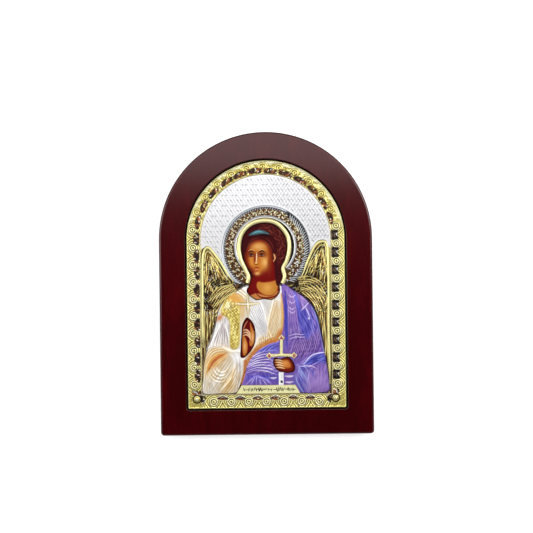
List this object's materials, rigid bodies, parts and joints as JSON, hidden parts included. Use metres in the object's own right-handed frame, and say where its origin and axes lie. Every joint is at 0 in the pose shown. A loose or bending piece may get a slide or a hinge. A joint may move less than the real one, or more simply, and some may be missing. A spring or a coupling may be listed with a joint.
{
  "type": "icon panel",
  "caption": "Arched wooden board with a painted picture under a pressed metal cover that leaves the head and hands of a winged half figure open.",
  "frame": {"origin": "middle of the flat back, on the surface that the panel lies on", "axes": "+Z out of the picture, +Y towards the top of the arch, +X to the viewer's right"},
  "size_m": [0.148, 0.21, 0.0188],
  "materials": {
    "lacquered_wood": "dark red satin lacquer",
    "painted_picture": "printed picture under satin varnish",
    "pressed_metal": "bright silver, partly gold toned and partly lacquered in colour"
  },
  "bodies": {
    "root": {"wooden_board": "lacquered_wood", "painted_panel": "painted_picture", "metal_cover": "pressed_metal"}
  },
  "joints": []
}
